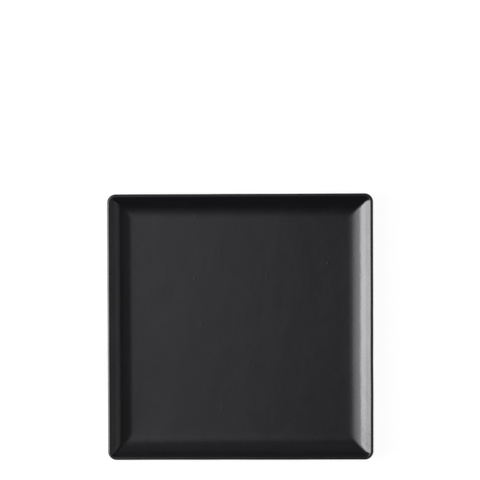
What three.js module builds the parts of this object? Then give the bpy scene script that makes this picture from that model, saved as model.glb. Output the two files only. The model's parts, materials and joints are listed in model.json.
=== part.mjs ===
// Square serving plate in glazed stoneware: a pressed clay body that stands on a foot ring, a satin black
// glaze over its face and outside, and a second glazed panel on the underside, inside the foot.
// Millimetres, +Z up. The origin is the middle of the plane that the plate stands on.
import * as THREE from "three";
import { mergeVertices } from "three/addons/utils/BufferGeometryUtils.js";

// Outside of the finished plate, glaze included
const PLATE_SIDE = 260;
const PLATE_HEIGHT = 20;
const PLATE_CORNER_RADIUS = 8.5;

// Lip and the outside of the wall
const LIP_WIDTH = 2.7;
const LIP_OUTER_RADIUS = 1.8;
const LIP_INNER_RADIUS = 2;
const LIP_UNDERSIDE_RADIUS = 3;
const WALL_ANGLE_DEG = 38;
const WALL_THICKNESS = 5;

// Slope of the well, steeper for a short way below the lip, and the tight corners where its sides meet
const LIP_SLOPE_ANGLE_DEG = 40.5;
const LIP_SLOPE_DEPTH = 4.2;
const FLOOR_SLOPE_ANGLE_DEG = 36.5;
const SLOPE_EASING_RADIUS = 50;
const WELL_CORNER_RADIUS = 2;

// Floor
const FLOOR_THICKNESS = 6;
const FLOOR_FILLET_RADIUS = 25;
const UNDERSIDE_FILLET_RADIUS = 12;

// Foot ring, set back from where the wall leaves the underside
const FOOT_SETBACK = 9;
const FOOT_WIDTH = 8;
const FOOT_HEIGHT = 3.5;
const FOOT_DRAFT_DEG = 12;
const FOOT_INNER_CORNER_RADIUS = 5;
const FOOT_EDGE_RADIUS = 0.8;
const FOOT_FILLET_RADIUS = 1.5;

// Glaze, which stops short of the resting plane so that the foot is bare
const GLAZE_THICKNESS = 0.4;
const GLAZE_LINE_HEIGHT = 1.2;

// Fineness of the facets, and the most of a straight that the round corners at its ends may take
const CORNER_STEPS = 6;
const ARC_SAGITTA = 0.03;
const ARC_SHARE = 0.96;

const slopeOf = (angleDeg) => Math.tan(THREE.MathUtils.degToRad(angleDeg));
const wallSlope = slopeOf(WALL_ANGLE_DEG);
const footDraft = slopeOf(FOOT_DRAFT_DEG);

// The section is drawn in a half plane: x is the half side of the plate at that level, and y is its height.
// Its runs go out from under the plate, up its outside and in over its face, with the air on their right.
const corner = (halfSide, height, radius = 0) => ({ at: new THREE.Vector2(halfSide, height), radius });

const rightOf = (direction) => new THREE.Vector2(direction.y, -direction.x);

const turnBetween = (before, after) => Math.atan2(before.cross(after), before.dot(after));

const straightsOf = (run) => run.slice(1).map((next, i) => next.at.clone().sub(run[i].at));

const directionsOf = (run) => straightsOf(run).map((straight) => straight.normalize());

// Steps of a round corner that keep its facets within the sagitta
function arcSteps(radius, turn) {
  const largestStep = 2 * Math.acos(Math.max(0, 1 - ARC_SAGITTA / radius));
  return Math.max(2, Math.ceil(Math.abs(turn) / largestStep));
}

// A run whose round corners are no larger than its straights allow, each with its number of steps
function fitted(run) {
  const straights = straightsOf(run);
  const turnAt = (i) => turnBetween(straights[i - 1], straights[i]);
  const tangents = run.map(({ radius }, i) => (radius === 0 ? 0 : radius * Math.tan(Math.abs(turnAt(i)) / 2)));
  const room = (i) => (ARC_SHARE * straights[i].length()) / (tangents[i] + tangents[i + 1]);
  return run.map(({ at, radius }, i) => {
    if (radius === 0) return { at, radius };
    const fittedRadius = radius * Math.min(1, room(i - 1), room(i));
    return { at, radius: fittedRadius, steps: arcSteps(fittedRadius, turnAt(i)) };
  });
}

// The same run moved away from the air by a depth, with as many points along it
function inset(run, depth) {
  const directions = directionsOf(run);
  return run.map(({ at, radius, steps }, i) => {
    const before = directions[Math.max(i - 1, 0)];
    const after = directions[Math.min(i, directions.length - 1)];
    const [normalBefore, normalAfter] = [rightOf(before), rightOf(after)];
    const shift = normalBefore.clone().add(normalAfter).divideScalar(1 + normalBefore.dot(normalAfter));
    const insetAt = at.clone().addScaledVector(shift, -depth);
    if (radius === 0) return { at: insetAt, radius };
    const insetRadius = radius - Math.sign(turnBetween(before, after)) * depth;
    return { at: insetAt, radius: Math.max(insetRadius, ARC_SAGITTA), steps };
  });
}

// Points along a run with its corners rounded
function roundedPoints(run) {
  const directions = directionsOf(run);
  return run.flatMap(({ at, radius, steps }, i) => {
    if (radius === 0) return [at];
    const turn = turnBetween(directions[i - 1], directions[i]);
    const tangent = radius * Math.tan(Math.abs(turn) / 2);
    const inward = rightOf(directions[i - 1]).multiplyScalar(-Math.sign(turn));
    const start = at.clone().addScaledVector(directions[i - 1], -tangent);
    const centre = start.clone().addScaledVector(inward, radius);
    const from = start.clone().sub(centre).angle();
    const arc = new THREE.EllipseCurve(centre.x, centre.y, radius, radius, from, from + turn, turn < 0);
    return arc.getPoints(steps);
  });
}

// Levels and half sides that the section takes its corners from
const lipOuter = PLATE_SIDE / 2;
const lipInner = lipOuter - LIP_WIDTH;
const floorHeight = FOOT_HEIGHT + FLOOR_THICKNESS;
const slopeEasing = lipInner - LIP_SLOPE_DEPTH / slopeOf(LIP_SLOPE_ANGLE_DEG);
const slopeEasingHeight = PLATE_HEIGHT - LIP_SLOPE_DEPTH;
const floorEdge = slopeEasing - (slopeEasingHeight - floorHeight) / slopeOf(FLOOR_SLOPE_ANGLE_DEG);
const lipUnderside = PLATE_HEIGHT + LIP_WIDTH * wallSlope - WALL_THICKNESS * Math.hypot(1, wallSlope);
const lipMiddle = (lipUnderside + PLATE_HEIGHT) / 2;
const wallFoot = lipOuter - (lipUnderside - FOOT_HEIGHT) / wallSlope;
const footOuter = wallFoot - FOOT_SETBACK;
const footInner = footOuter - FOOT_WIDTH;
const glazeLineDraft = (FOOT_HEIGHT - GLAZE_LINE_HEIGHT) * footDraft;

// Glazed panel under the floor, from its middle to the inner glaze line
const baseRun = fitted([
  corner(0, FOOT_HEIGHT),
  corner(footInner, FOOT_HEIGHT, FOOT_FILLET_RADIUS),
  corner(footInner + glazeLineDraft, GLAZE_LINE_HEIGHT),
]);

// Glazed outside, from the outer glaze line along the underside and up the wall to the middle of the lip
const outsideRun = fitted([
  corner(footOuter - glazeLineDraft, GLAZE_LINE_HEIGHT),
  corner(footOuter, FOOT_HEIGHT, FOOT_FILLET_RADIUS),
  corner(wallFoot, FOOT_HEIGHT, UNDERSIDE_FILLET_RADIUS),
  corner(lipOuter, lipUnderside, LIP_UNDERSIDE_RADIUS),
  corner(lipOuter, lipMiddle),
]);

// Glazed face, from the middle of the lip over its edges, down the slope and in to the middle of the floor
const wellRun = fitted([
  corner(lipOuter, lipMiddle),
  corner(lipOuter, PLATE_HEIGHT, LIP_OUTER_RADIUS),
  corner(lipInner, PLATE_HEIGHT, LIP_INNER_RADIUS),
  corner(slopeEasing, slopeEasingHeight, SLOPE_EASING_RADIUS),
  corner(floorEdge, floorHeight, FLOOR_FILLET_RADIUS),
  corner(0, floorHeight),
]);

// Bare foot between the two glaze lines, which tapers to the resting plane
const footInnerTop = inset(baseRun, GLAZE_THICKNESS).at(-1).at;
const footOuterTop = inset(outsideRun, GLAZE_THICKNESS)[0].at;
const footRun = fitted([
  corner(footInnerTop.x, footInnerTop.y),
  corner(footInnerTop.x + footInnerTop.y * footDraft, 0, FOOT_EDGE_RADIUS),
  corner(footOuterTop.x - footOuterTop.y * footDraft, 0, FOOT_EDGE_RADIUS),
  corner(footOuterTop.x, footOuterTop.y),
]);

// Corner radius of the plan at a half side: concentric round the foot, blended along the underside, and
// concentric again round the lip until the slope's corners are as tight as the well's
const footPlanRadius = (halfSide) => FOOT_INNER_CORNER_RADIUS + halfSide - footInner;

function outsidePlanRadius(halfSide) {
  const blend = THREE.MathUtils.clamp((halfSide - footOuter) / (wallFoot - footOuter), 0, 1);
  return THREE.MathUtils.lerp(footPlanRadius(footOuter), PLATE_CORNER_RADIUS, blend);
}

const wellPlanRadius = (halfSide) =>
  Math.max(WELL_CORNER_RADIUS, PLATE_CORNER_RADIUS - (lipOuter - halfSide));

// Levels of a run: each is a rounded square with its half side, height and corner radius
const levelsOf = (run, planRadius) =>
  roundedPoints(run).map(({ x, y }) => ({ halfSide: x, height: y, radius: planRadius(x) }));

// Levels of the clay under a glazed run, whose corners are concentric with those of the glaze
function clayLevelsOf(run, planRadius) {
  const glazed = levelsOf(run, planRadius);
  return roundedPoints(inset(run, GLAZE_THICKNESS)).map(({ x, y }, i) => {
    return { halfSide: x, height: y, radius: glazed[i].radius + x - glazed[i].halfSide };
  });
}

// Points round one level, counter-clockwise from above
function ringOf({ halfSide, height, radius }) {
  const points = [];
  for (let quarter = 0; quarter < 4; quarter++) {
    const signX = quarter === 0 || quarter === 3 ? 1 : -1;
    const signY = quarter < 2 ? 1 : -1;
    for (let step = 0; step <= CORNER_STEPS; step++) {
      const angle = ((quarter + step / CORNER_STEPS) * Math.PI) / 2;
      const x = signX * (halfSide - radius) + radius * Math.cos(angle);
      const y = signY * (halfSide - radius) + radius * Math.sin(angle);
      points.push(new THREE.Vector3(x, y, height));
    }
  }
  return points;
}

// Triangles between two levels that follow each other on a run, facing the air
function strip(level, next) {
  const [ring, nextRing] = [ringOf(level), ringOf(next)];
  return ring.flatMap((point, i) => {
    const j = (i + 1) % ring.length;
    return [[point, ring[j], nextRing[j]], [point, nextRing[j], nextRing[i]]];
  });
}

const skin = (levels) => levels.slice(1).flatMap((next, i) => strip(levels[i], next));

// Flat panel inside a level, facing up
function panel(level) {
  const ring = ringOf(level);
  const middle = new THREE.Vector3(0, 0, level.height);
  return ring.map((point, i) => [middle, point, ring[(i + 1) % ring.length]]);
}

const flipped = (triangles) => triangles.map(([a, b, c]) => [a, c, b]);

// A run that starts or ends in the middle of the plate has a flat panel there instead of that point
const baseGlazed = levelsOf(baseRun, footPlanRadius).slice(1);
const baseClay = clayLevelsOf(baseRun, footPlanRadius).slice(1);
const footClay = levelsOf(footRun, footPlanRadius).slice(1, -1);
const faceGlazed = [
  ...levelsOf(outsideRun, outsidePlanRadius),
  ...levelsOf(wellRun, wellPlanRadius).slice(1, -1),
];
const faceClay = [
  ...clayLevelsOf(outsideRun, outsidePlanRadius),
  ...clayLevelsOf(wellRun, wellPlanRadius).slice(1, -1),
];

const clayBodyTriangles = [
  ...flipped(panel(baseClay[0])),
  ...skin([...baseClay, ...footClay, ...faceClay]),
  ...panel(faceClay.at(-1)),
];

// Each coat is its own surface, the clay's surface turned over, and the blunt edge at the glaze line
const faceGlazeTriangles = [
  ...skin(faceGlazed),
  ...panel(faceGlazed.at(-1)),
  ...flipped([...skin(faceClay), ...panel(faceClay.at(-1))]),
  ...strip(faceClay[0], faceGlazed[0]),
];

const baseGlazeTriangles = [
  ...flipped(panel(baseGlazed[0])),
  ...skin(baseGlazed),
  ...strip(baseGlazed.at(-1), baseClay.at(-1)),
  ...flipped([...flipped(panel(baseClay[0])), ...skin(baseClay)]),
];

function pieceOf(name, triangles, material) {
  const geometry = mergeVertices(new THREE.BufferGeometry().setFromPoints(triangles.flat()));
  geometry.computeVertexNormals();
  const piece = new THREE.Mesh(geometry, material);
  piece.name = name;
  return piece;
}

const bareStoneware = () => new THREE.MeshStandardMaterial({ color: 0x8f8375, roughness: 0.9, metalness: 0 });
const blackGlaze = () => new THREE.MeshStandardMaterial({ color: 0x0d0c0f, roughness: 0.25, metalness: 0 });

const plate = new THREE.Group();
plate.add(
  pieceOf("clay_body", clayBodyTriangles, bareStoneware()),
  pieceOf("face_glaze", faceGlazeTriangles, blackGlaze()),
  pieceOf("base_glaze", baseGlazeTriangles, blackGlaze()),
);

export default plate;
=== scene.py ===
# Looks of a square serving plate in black-glazed stoneware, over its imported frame. Metres, +Z up.
import json
from math import atan2, copysign, cos, pi, radians, sin, tan

import bmesh
import bpy
from mathutils import Matrix, Vector, noise


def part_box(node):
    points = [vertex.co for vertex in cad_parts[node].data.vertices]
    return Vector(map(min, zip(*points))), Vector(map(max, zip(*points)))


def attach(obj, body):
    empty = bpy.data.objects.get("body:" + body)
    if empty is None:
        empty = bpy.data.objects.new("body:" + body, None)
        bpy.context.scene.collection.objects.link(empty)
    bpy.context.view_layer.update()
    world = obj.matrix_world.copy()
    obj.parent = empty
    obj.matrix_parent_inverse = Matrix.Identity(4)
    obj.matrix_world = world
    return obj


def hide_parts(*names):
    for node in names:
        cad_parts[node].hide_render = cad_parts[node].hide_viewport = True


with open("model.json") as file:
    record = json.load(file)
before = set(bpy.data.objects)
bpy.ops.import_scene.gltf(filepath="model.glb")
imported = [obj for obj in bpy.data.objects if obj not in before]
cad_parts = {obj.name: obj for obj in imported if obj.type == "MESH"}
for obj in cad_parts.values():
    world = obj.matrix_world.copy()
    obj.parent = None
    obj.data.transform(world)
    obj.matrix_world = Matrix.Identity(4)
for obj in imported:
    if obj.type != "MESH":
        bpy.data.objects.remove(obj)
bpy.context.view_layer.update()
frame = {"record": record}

MM = 0.001

# Sizes that the frame gives
mounts = {mount["name"]: Vector(mount["pos_m"]) for mount in frame["record"]["mounts"]}
plate_half, _, plate_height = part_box("face_glaze")[1]
floor_height = mounts["serving_floor"].z
glaze_thickness = plate_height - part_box("clay_body")[1].z
glaze_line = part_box("face_glaze")[0].z
foot_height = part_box("base_glaze")[1].z - glaze_thickness

# Lip and the outside of the wall
PLATE_CORNER_RADIUS = 8.5 * MM
LIP_WIDTH = 2.7 * MM
LIP_OUTER_RADIUS = 1.8 * MM
LIP_INNER_RADIUS = 2 * MM
LIP_UNDERSIDE_RADIUS = 3 * MM
WALL_SLOPE = tan(radians(38))
WALL_THICKNESS = 5 * MM

# Slope of the well, steeper for a short way below the lip, and the floor
LIP_SLOPE = tan(radians(40.5))
LIP_SLOPE_DEPTH = 4.2 * MM
FLOOR_SLOPE = tan(radians(36.5))
SLOPE_EASING_RADIUS = 50 * MM
WELL_CORNER_RADIUS = 2 * MM
FLOOR_FILLET_RADIUS = 25 * MM
UNDERSIDE_FILLET_RADIUS = 12 * MM

# Foot ring
FOOT_SETBACK = 9 * MM
FOOT_WIDTH = 8 * MM
FOOT_DRAFT = tan(radians(12))
FOOT_INNER_CORNER_RADIUS = 5 * MM
FOOT_EDGE_RADIUS = 0.8 * MM
FOOT_FILLET_RADIUS = 1.5 * MM

# Fineness of the meshes
ARC_STEPS = 10
BEAD_STEPS = 6
CORNER_STEPS = 16
SIDE_CUTS = 39
LONG_EDGE = 40 * MM
PANEL_RINGS = (0.92, 0.8, 0.66, 0.48, 0.28)
STACK_STEP = 50 * MM

# How far the kiln moved the clay from its mould, and the sponge the glaze line from its height
KILN_SEED = 8
KILN_WARP = 0.18 * MM
KILN_WARP_LENGTH = 110 * MM
KILN_RIPPLE = 0.12 * MM
KILN_RIPPLE_LENGTH = 32 * MM
KILN_SKEW = 0.0017
KILN_STRETCH = 0.0024
KILN_SAG = 0.5 * MM
KILN_SAG_REACH = 119 * MM
KILN_SAG_FLATNESS = 6
GLAZE_LINE_WANDER = 0.25 * MM
GLAZE_LINE_WAVE = 9 * MM

# Camera above, leaning a little to the right and the far side, with the plate low in the frame
IMAGE_SIDE = 480
PLATE_PIXELS = 266.3
PLATE_CENTRE_PIXEL = (239.9, 327.25)
CAMERA_DISTANCE = 2.4
CAMERA_LEAN = (radians(1.65), radians(1.6))
CAMERA_ROLL = radians(-0.17)
SENSOR = 36


# Section of the plate: runs of (half side, height, radius) corners, with the air on their right
def right_of(heading):
    return Vector((heading.y, -heading.x))


def section(corners, depth=0.0):
    """Points along a run with its corners rounded, the whole moved in from the air by a depth."""
    spots = [Vector(corner[:2]) for corner in corners]
    headings = [(after - before).normalized() for before, after in zip(spots, spots[1:])]
    points = []
    for i, (spot, corner) in enumerate(zip(spots, corners)):
        before = headings[max(i - 1, 0)]
        after = headings[min(i, len(headings) - 1)]
        spot = spot - (right_of(before) + right_of(after)) / (1 + before.dot(after)) * depth
        if len(corner) == 2:
            points.append(spot)
            continue
        turn = atan2(before.x * after.y - before.y * after.x, before.dot(after))
        bend = copysign(1, turn)
        radius = corner[2] - bend * depth
        start = spot - before * radius * tan(abs(turn) / 2)
        centre = start - right_of(before) * radius * bend
        for step in range(ARC_STEPS + 1):
            points.append(centre + Matrix.Rotation(turn * step / ARC_STEPS, 2) @ (start - centre))
    return points


lip_inner = plate_half - LIP_WIDTH
slope_easing = lip_inner - LIP_SLOPE_DEPTH / LIP_SLOPE
slope_easing_height = plate_height - LIP_SLOPE_DEPTH
floor_edge = slope_easing - (slope_easing_height - floor_height) / FLOOR_SLOPE
wall_drop = WALL_THICKNESS * (1 + WALL_SLOPE**2) ** 0.5
lip_underside = plate_height + LIP_WIDTH * WALL_SLOPE - wall_drop
lip_middle = (lip_underside + plate_height) / 2
wall_foot = plate_half - (lip_underside - foot_height) / WALL_SLOPE
foot_outer = wall_foot - FOOT_SETBACK
foot_inner = foot_outer - FOOT_WIDTH
glaze_line_draft = (foot_height - glaze_line) * FOOT_DRAFT

base_run = [
    (0, foot_height),
    (foot_inner, foot_height, FOOT_FILLET_RADIUS),
    (foot_inner + glaze_line_draft, glaze_line),
]
outside_run = [
    (foot_outer - glaze_line_draft, glaze_line),
    (foot_outer, foot_height, FOOT_FILLET_RADIUS),
    (wall_foot, foot_height, UNDERSIDE_FILLET_RADIUS),
    (plate_half, lip_underside, LIP_UNDERSIDE_RADIUS),
    (plate_half, lip_middle),
]
well_run = [
    (plate_half, lip_middle),
    (plate_half, plate_height, LIP_OUTER_RADIUS),
    (lip_inner, plate_height, LIP_INNER_RADIUS),
    (slope_easing, slope_easing_height, SLOPE_EASING_RADIUS),
    (floor_edge, floor_height, FLOOR_FILLET_RADIUS),
    (0, floor_height),
]


# Corner radius of the plan at a half side
def foot_plan(half_side):
    return FOOT_INNER_CORNER_RADIUS + half_side - foot_inner


def outside_plan(half_side):
    blend = min(max((half_side - foot_outer) / (wall_foot - foot_outer), 0), 1)
    return foot_plan(foot_outer) + (PLATE_CORNER_RADIUS - foot_plan(foot_outer)) * blend


def well_plan(half_side):
    return max(WELL_CORNER_RADIUS, PLATE_CORNER_RADIUS - (plate_half - half_side))


def glazed_levels(run, plan):
    """(half side, height, corner radius) of each level of a glazed run."""
    return [(point.x, point.y, plan(point.x)) for point in section(run)]


def clay_levels(run, plan):
    """The same levels on the clay under the glaze, with concentric corners."""
    pairs = zip(section(run), section(run, glaze_thickness))
    return [(clay.x, clay.y, plan(glazed.x) + clay.x - glazed.x) for glazed, clay in pairs]


def bead_levels(inner, outer):
    """Levels of the rolled edge of a coat between the ends of its two skins."""
    ends = [Vector(inner[:2]), Vector(outer[:2])]
    centre = (ends[0] + ends[1]) / 2
    levels = []
    for step in range(1, BEAD_STEPS):
        spot = centre + Matrix.Rotation(pi * step / BEAD_STEPS, 2) @ (ends[0] - centre)
        radius = inner[2] + (outer[2] - inner[2]) * step / BEAD_STEPS
        levels.append((spot.x, spot.y, radius))
    return levels


base_glazed = glazed_levels(base_run, foot_plan)[1:]
base_clay = clay_levels(base_run, foot_plan)[1:]
face_glazed = glazed_levels(outside_run, outside_plan) + glazed_levels(well_run, well_plan)[1:-1]
face_clay = clay_levels(outside_run, outside_plan) + clay_levels(well_run, well_plan)[1:-1]

foot_ends = (base_clay[-1], face_clay[0])
foot_run = [
    foot_ends[0][:2],
    (foot_ends[0][0] + foot_ends[0][1] * FOOT_DRAFT, 0, FOOT_EDGE_RADIUS),
    (foot_ends[1][0] - foot_ends[1][1] * FOOT_DRAFT, 0, FOOT_EDGE_RADIUS),
    foot_ends[1][:2],
]
foot_clay = glazed_levels(foot_run, foot_plan)[1:-1]


def panel_levels(edge):
    """Levels of a flat panel inside its edge, so that it can follow the kiln's warp."""
    return [(edge[0] * share, edge[1], WELL_CORNER_RADIUS) for share in PANEL_RINGS]


# Meshes: each level is a square outline with bevelled corners, and each level is bridged to the next
def outline(bm, half_side, radius, stack_height):
    place = Matrix.Translation((0, 0, stack_height))
    square = bmesh.ops.create_grid(bm, x_segments=1, y_segments=1, size=half_side, matrix=place)
    rounded = bmesh.ops.bevel(
        bm, geom=square["verts"], offset=radius, offset_type="OFFSET", affect="VERTICES",
        segments=CORNER_STEPS, profile=0.5, material=-1,
    )
    return rounded["verts"][0].link_faces[0]


def lofted(name, levels, warp):
    """A closed piece through its levels, from one flat panel to the other.

    The outlines are bridged as a tall stack, since two in one plane could bridge with a twist,
    and only then is each moved to the height of its level.
    """
    bm = bmesh.new()
    panels = [
        outline(bm, half_side, radius, place * STACK_STEP)
        for place, (half_side, _, radius) in enumerate(levels)
    ]
    rings = [list(panel.verts) for panel in panels]
    loops = [list(panel.edges) for panel in panels]
    bmesh.ops.delete(bm, geom=panels[1:-1], context="FACES_ONLY")
    for loop, following in zip(loops, loops[1:]):
        bmesh.ops.bridge_loops(bm, edges=loop + following)
    for ring, (_, height, _) in zip(rings, levels):
        for vert in ring:
            vert.co.z = height
    sides = [edge for edge in bm.edges if edge.calc_length() > LONG_EDGE]
    bmesh.ops.subdivide_edges(bm, edges=sides, cuts=SIDE_CUTS, use_grid_fill=True)
    for vert in bm.verts:
        vert.co += warp(vert.co)
    bmesh.ops.recalc_face_normals(bm, faces=bm.faces)
    for face in bm.faces:
        face.smooth = True
    mesh = bpy.data.meshes.new(name)
    bm.to_mesh(mesh)
    bm.free()
    piece = bpy.data.objects.new(name, mesh)
    bpy.context.scene.collection.objects.link(piece)
    return piece


# The seed gives every run the same drift
noise.seed_set(KILN_SEED)


def kiln_warp(spot):
    """Drift of the fired clay off its foot: drawn out of square, sunk in the middle, waved all over and
    rippled along the walls."""
    drawn = Vector((0, spot.x * KILN_SKEW + spot.y * KILN_STRETCH, 0))
    shares = [min(abs(place) / KILN_SAG_REACH, 1) for place in spot.xy]
    across, along = [(1 - share**KILN_SAG_FLATNESS) ** 2 for share in shares]
    middle = across * along
    waves = noise.noise_vector(spot / KILN_WARP_LENGTH) * KILN_WARP
    ripples = noise.noise_vector(spot / KILN_RIPPLE_LENGTH) * KILN_RIPPLE * (1 - middle)
    return drawn + (waves + ripples - Vector((0, 0, middle * KILN_SAG))) * min(spot.z / foot_height, 1)


def coat_warp(spot):
    """The clay's warp, and the wander of the glaze line just above the bare foot."""
    share = min(max((foot_height - spot.z) / (foot_height - glaze_line), 0), 1)
    wander = noise.noise(spot / GLAZE_LINE_WAVE) * GLAZE_LINE_WANDER * share
    return kiln_warp(spot) + Vector((0, 0, wander))


clay_body = lofted(
    "clay_body_fired",
    [
        *reversed(panel_levels(base_clay[0])), *base_clay,
        *foot_clay,
        *face_clay, *panel_levels(face_clay[-1]),
    ],
    kiln_warp,
)
face_glaze = lofted(
    "face_glaze_coat",
    [
        *reversed(panel_levels(face_clay[-1])), *reversed(face_clay),
        *bead_levels(face_clay[0], face_glazed[0]),
        *face_glazed, *panel_levels(face_glazed[-1]),
    ],
    coat_warp,
)
base_glaze = lofted(
    "base_glaze_coat",
    [
        *reversed(panel_levels(base_glazed[0])), *base_glazed,
        *bead_levels(base_glazed[-1], base_clay[-1]),
        *reversed(base_clay), *panel_levels(base_clay[0]),
    ],
    coat_warp,
)


# Materials
def linear(hex_colour):
    """Linear RGBA of an sRGB hex colour."""
    channels = [int(hex_colour[i : i + 2], 16) / 255 for i in (1, 3, 5)]
    return *[c / 12.92 if c <= 0.04045 else ((c + 0.055) / 1.055) ** 2.4 for c in channels], 1


def add(tree, kind, inputs=None, **settings):
    """Adds a node with its settings. An input is a value, or a (node, output) pair to link."""
    made = tree.nodes.new(kind)
    for name, value in settings.items():
        setattr(made, name, value)
    for socket, value in (inputs or {}).items():
        if isinstance(value, tuple) and isinstance(value[0], bpy.types.Node):
            tree.links.new(value[0].outputs[value[1]], made.inputs[socket])
        else:
            made.inputs[socket].default_value = value
    return made


def new_material(name):
    material = bpy.data.materials.new(name)
    material.use_nodes = True
    material.node_tree.nodes.clear()
    return material, material.node_tree


# Colours of the glaze where it is thick and thin, of the clay where the flame touched it more and less, and
# of its iron
THICK_BLACK = "#09080d"
THIN_BLACK = "#110e13"
DARK_BUFF = "#7d7062"
PALE_BUFF = "#a2978a"
IRON_BROWN = "#3b2a20"
IRON_STRENGTH = 0.8
CLAY_ROUGHNESS = 0.9

# Gloss of the glaze, and the values of its clouds where it is most and least shiny
GLAZE_IOR = 1.6
GLAZE_TINT = (0.975, 0.972, 1, 1)
GLAZE_ROUGHNESS = (0.235, 0.265)
CLOUD_RANGE = (0.3, 0.7)

# Patterns of the two surfaces, by size. Grit and iron specks are drawn about twice their real width,
# since a pixel covers about a millimetre.
CLOUD = 28 * MM
CLOUD_HEIGHT = 0.3 * MM
PEEL = 2.6 * MM
PEEL_HEIGHT = 0.03 * MM
GRIT_SPACING = 23 * MM
GRIT_RADIUS = 1.4 * MM
GRIT_HEIGHT = 0.2 * MM
GRAIN = 0.7 * MM
GRAIN_HEIGHT = 0.05 * MM
CLAY_CLOUD = 12 * MM
IRON_SPACING = 4 * MM
IRON_RADIUS = 0.5 * MM


def black_glaze():
    """Satin black, dipped and fired. The dip ran thicker and thinner, which shifts the black and its
    sheen in slow clouds; the melt left a fine peel that softens reflections, over a few grains of grit."""
    material, tree = new_material("dipped_satin_black_glaze")
    at = (add(tree, "ShaderNodeTexCoord"), "Object")
    cloud = add(tree, "ShaderNodeTexNoise", {"Vector": at, "Scale": 1 / CLOUD, "Detail": 3})
    black = add(
        tree, "ShaderNodeMix",
        {0: (cloud, 0), 6: linear(THICK_BLACK), 7: linear(THIN_BLACK)}, data_type="RGBA",
    )
    sheen = add(
        tree, "ShaderNodeMapRange",
        {
            "Value": (cloud, 0), "From Min": CLOUD_RANGE[0], "From Max": CLOUD_RANGE[1],
            "To Min": GLAZE_ROUGHNESS[0], "To Max": GLAZE_ROUGHNESS[1],
        },
    )
    waved = add(tree, "ShaderNodeBump", {"Distance": CLOUD_HEIGHT, "Height": (cloud, 0)})
    peel = add(tree, "ShaderNodeTexNoise", {"Vector": at, "Scale": 1 / PEEL, "Detail": 1})
    peeled = add(
        tree, "ShaderNodeBump", {"Distance": PEEL_HEIGHT, "Height": (peel, 0), "Normal": (waved, 0)}
    )
    grit = add(tree, "ShaderNodeTexVoronoi", {"Vector": at, "Scale": 1 / GRIT_SPACING})
    grain = add(
        tree, "ShaderNodeMapRange",
        {
            "Value": (grit, "Distance"), "From Min": 0, "From Max": GRIT_RADIUS / GRIT_SPACING,
            "To Min": 1, "To Max": 0,
        },
        interpolation_type="SMOOTHSTEP",
    )
    bumped = add(
        tree, "ShaderNodeBump", {"Distance": GRIT_HEIGHT, "Height": (grain, 0), "Normal": (peeled, 0)}
    )
    surface = add(
        tree, "ShaderNodeBsdfPrincipled",
        {
            "Base Color": (black, 2), "Roughness": (sheen, 0), "IOR": GLAZE_IOR, "Normal": (bumped, 0),
            "Specular Tint": GLAZE_TINT,
        },
    )
    add(tree, "ShaderNodeOutputMaterial", {"Surface": (surface, 0)})
    return material


def bare_stoneware():
    """Buff stoneware fired bare and wiped: matt, sandy to the eye, clouded by the flame and freckled
    with iron."""
    material, tree = new_material("bare_fired_stoneware")
    at = (add(tree, "ShaderNodeTexCoord"), "Object")
    cloud = add(tree, "ShaderNodeTexNoise", {"Vector": at, "Scale": 1 / CLAY_CLOUD, "Detail": 4})
    buff = add(
        tree, "ShaderNodeMix",
        {0: (cloud, 0), 6: linear(DARK_BUFF), 7: linear(PALE_BUFF)}, data_type="RGBA",
    )
    iron = add(tree, "ShaderNodeTexVoronoi", {"Vector": at, "Scale": 1 / IRON_SPACING})
    freckle = add(
        tree, "ShaderNodeMapRange",
        {
            "Value": (iron, "Distance"), "From Min": 0, "From Max": IRON_RADIUS / IRON_SPACING,
            "To Min": IRON_STRENGTH, "To Max": 0,
        },
    )
    freckled = add(
        tree, "ShaderNodeMix",
        {0: (freckle, 0), 6: (buff, 2), 7: linear(IRON_BROWN)}, data_type="RGBA",
    )
    grain = add(tree, "ShaderNodeTexNoise", {"Vector": at, "Scale": 1 / GRAIN, "Detail": 2})
    sandy = add(tree, "ShaderNodeBump", {"Distance": GRAIN_HEIGHT, "Height": (grain, 0)})
    surface = add(
        tree, "ShaderNodeBsdfPrincipled",
        {"Base Color": (freckled, 2), "Roughness": CLAY_ROUGHNESS, "Normal": (sandy, 0)},
    )
    add(tree, "ShaderNodeOutputMaterial", {"Surface": (surface, 0)})
    return material


def dress(piece, node, material):
    piece.data.materials.append(material)
    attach(piece, "root")
    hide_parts(node)


glaze_material = black_glaze()
dress(clay_body, "clay_body", bare_stoneware())
dress(face_glaze, "face_glaze", glaze_material)
dress(base_glaze, "base_glaze", glaze_material)


# Stage, light and camera
TABLE_HALF = 20
TABLE_GLOW = 0.94
TABLE_VEIL = (0.12, 0.12, 0.12, 1)
PAPER = (0.8, 0.8, 0.8, 1)
ROOM_GLOW = (0.064, 0.064, 0.064, 1)


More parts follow.
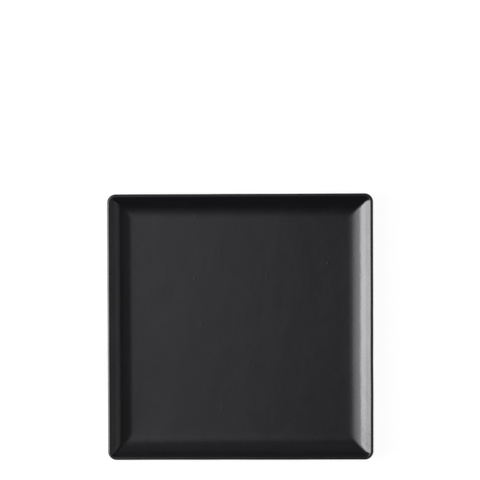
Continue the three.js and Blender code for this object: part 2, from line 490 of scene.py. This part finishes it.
def white_table():
    bm = bmesh.new()
    bmesh.ops.create_grid(bm, x_segments=1, y_segments=1, size=TABLE_HALF)
    mesh = bpy.data.meshes.new("table")
    bm.to_mesh(mesh)
    bm.free()
    table = bpy.data.objects.new("table", mesh)
    bpy.context.scene.collection.objects.link(table)
    material, tree = new_material("white_paper_table")
    rays = add(tree, "ShaderNodeLightPath")
    seen = add(
        tree, "ShaderNodeMath",
        {0: (rays, "Is Camera Ray"), 1: (rays, "Is Glossy Ray")}, operation="MAXIMUM",
    )
    shown = add(
        tree, "ShaderNodeMath",
        {0: (seen, 0), 1: (rays, "Is Transmission Ray")}, operation="MAXIMUM",
    )
    glow = add(tree, "ShaderNodeEmission", {"Color": (1, 1, 1, 1), "Strength": TABLE_GLOW})
    veil = add(tree, "ShaderNodeBsdfDiffuse", {"Color": TABLE_VEIL})
    lit = add(tree, "ShaderNodeAddShader", {0: (glow, 0), 1: (veil, 0)})
    paper = add(tree, "ShaderNodeBsdfDiffuse", {"Color": PAPER})
    mix = add(tree, "ShaderNodeMixShader", {0: (shown, 0), 1: (paper, 0), 2: (lit, 0)})
    add(tree, "ShaderNodeOutputMaterial", {"Surface": (mix, 0)})
    mesh.materials.append(material)


def panel_lamp(name, glow, size, place, target):
    """A soft panel of one glow, so that a mirror of it shows that glow as its brightness."""
    light = bpy.data.lights.new(name, "AREA")
    light.shape = "RECTANGLE"
    light.size, light.size_y = size
    light.energy = glow * pi * size[0] * size[1]
    made = bpy.data.objects.new(name, light)
    made.location = place
    made.rotation_euler = (Vector(target) - Vector(place)).to_track_quat("-Z", "Y").to_euler()
    made.visible_camera = False
    bpy.context.scene.collection.objects.link(made)


def camera():
    """Looks at the point of the lip's plane that the middle of the frame shows."""
    pixel = plate_half * 2 / PLATE_PIXELS
    right, down = [(IMAGE_SIDE / 2 - place) * pixel for place in PLATE_CENTRE_PIXEL]
    aim = Vector((right, -down, plate_height))
    back = Vector((tan(CAMERA_LEAN[0]), tan(CAMERA_LEAN[1]), 1)).normalized()
    lens = bpy.data.cameras.new("camera")
    lens.sensor_width = SENSOR
    lens.lens = SENSOR * CAMERA_DISTANCE / (IMAGE_SIDE * pixel)
    made = bpy.data.objects.new("camera", lens)
    made.location = aim + back * CAMERA_DISTANCE
    side = Vector((0, 1, 0)).cross(back).normalized()
    turn = Matrix((side, back.cross(side), back)).transposed() @ Matrix.Rotation(CAMERA_ROLL, 3, "Z")
    made.rotation_euler = turn.to_euler()
    bpy.context.scene.collection.objects.link(made)
    bpy.context.scene.camera = made


# Lamps. The left screen is an arc of panels over a shorter and brighter window, and each panel has a glow
# of its own, at its angle from overhead in degrees.
PLATE_MIDDLE = Vector((0, 0, 0.015))
SCREEN_MIDDLE = Vector((0, 0.16, 0.015))
SCREEN_LENGTH = 1.4
SCREEN_GLOWS = {19: 1.55, 27: 2.33, 35: 3.1, 43: 3.15, 51: 3.15}
WINDOW_MIDDLE = Vector((0, -0.06, 0.015))
WINDOW_LENGTH = 0.7
WINDOW_GLOWS = {59: 10.8, 67: 10.8, 75: 10.05, 83: 6.6}
LAMP_ARC_RADIUS = 1.5
LAMP_ARC_STEP = radians(8)


def lamp_arc(name, glows, length, middle):
    """Panels on an arc at the left of the plate, each facing the middle of the arc."""
    size = (length, 2 * LAMP_ARC_RADIUS * tan(LAMP_ARC_STEP / 2))
    for angle, glow in glows.items():
        lean = radians(angle)
        place = middle + Vector((-sin(lean), 0, cos(lean))) * LAMP_ARC_RADIUS
        panel_lamp(f"{name}_{angle}", glow, size, place, middle)


white_table()
lamp_arc("left_screen", SCREEN_GLOWS, SCREEN_LENGTH, SCREEN_MIDDLE)
lamp_arc("left_window", WINDOW_GLOWS, WINDOW_LENGTH, WINDOW_MIDDLE)
panel_lamp("overhead_near", glow=0.325, size=(0.5, 0.66), place=(-0.19, -0.5, 1.6), target=(-0.19, -0.5, 0))
panel_lamp("overhead_middle", glow=0.43, size=(0.5, 0.42), place=(-0.19, 0.04, 1.6), target=(-0.19, 0.04, 0))
panel_lamp("overhead_far", glow=0.305, size=(0.5, 0.53), place=(-0.19, 0.515, 1.6), target=(-0.19, 0.515, 0))
panel_lamp("near_canopy", glow=0.13, size=(1.0, 0.42), place=(-0.45, -0.9, 1.25), target=(-0.45, 0, 0))
panel_lamp("right_canopy", glow=0.125, size=(1.6, 0.9), place=(0.53, 0.12, 1.5), target=(0.53, 0.12, 0))
panel_lamp("right_strip", glow=0.51, size=(1.8, 0.55), place=(1.465, 0, 0.658), target=PLATE_MIDDLE)
panel_lamp("near_right_window", glow=1.1, size=(0.6, 0.6), place=(0.9, -0.9, 0.85), target=PLATE_MIDDLE)
panel_lamp("far_side", glow=0.155, size=(1.9, 1.4), place=(-0.45, 1.4, 1.15), target=(-0.45, 0, 0))
camera()

world = bpy.data.worlds.new("dim_studio")
world.use_nodes = True
world.node_tree.nodes["Background"].inputs["Color"].default_value = ROOM_GLOW
bpy.context.scene.world = world
bpy.context.scene.view_settings.view_transform = "Standard"
